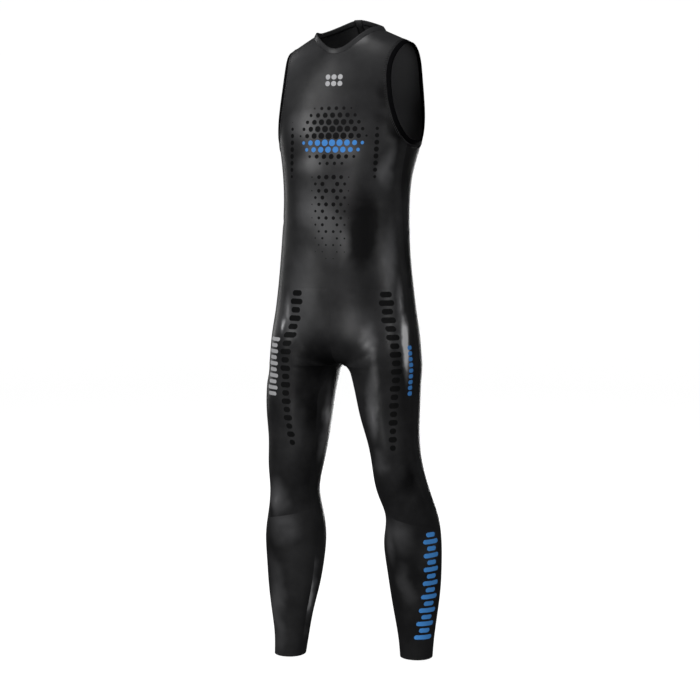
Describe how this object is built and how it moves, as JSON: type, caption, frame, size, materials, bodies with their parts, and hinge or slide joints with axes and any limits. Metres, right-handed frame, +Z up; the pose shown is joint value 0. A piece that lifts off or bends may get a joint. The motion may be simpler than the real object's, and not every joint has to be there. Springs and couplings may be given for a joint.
{
  "type": "sleeveless wetsuit",
  "caption": "Sleeveless full-leg neoprene wetsuit in its worn shape, hollow, with bound armholes, a low neck band and a back zip with a hinged pull tab.",
  "frame": {"origin": "on the shoulder line in the middle of the neck opening, where the wearer's shoulders hold the garment up", "axes": "+Z up along the garment, -Y out of the chest, +X towards the wearer's left"},
  "size_m": [0.4074, 0.2362, 1.4326],
  "materials": {
    "smooth_neoprene": "smooth satin skin",
    "panel_neoprene": "soft satin",
    "binding": "matte jersey",
    "zip_tape": "woven tape and nylon coil",
    "moulded_black": "satin moulded"
  },
  "bodies": {
    "garment": {"front_body": "smooth_neoprene", "side_panel_left": "panel_neoprene", "side_panel_right": "panel_neoprene", "back_body_left": "smooth_neoprene", "back_body_right": "smooth_neoprene", "front_thigh_left": "smooth_neoprene", "front_thigh_right": "smooth_neoprene", "seat_thigh_left": "panel_neoprene", "seat_thigh_right": "panel_neoprene", "shin_left": "smooth_neoprene", "shin_right": "smooth_neoprene", "calf_left": "panel_neoprene", "calf_right": "panel_neoprene", "armhole_binding_left": "binding", "armhole_binding_right": "binding", "neck_band": "smooth_neoprene", "zip_tape": "zip_tape", "zip_slider": "moulded_black"},
    "pull_tab": {"pull_tab": "moulded_black"}
  },
  "joints": [
    {"name": "pull_tab_hinge", "type": "hinge", "parent": "garment", "child": "pull_tab", "pos_m": [0.003, 0.06259, 0.02142], "axis": [1, 0, 0], "range_deg": [0, 150]}
  ]
}
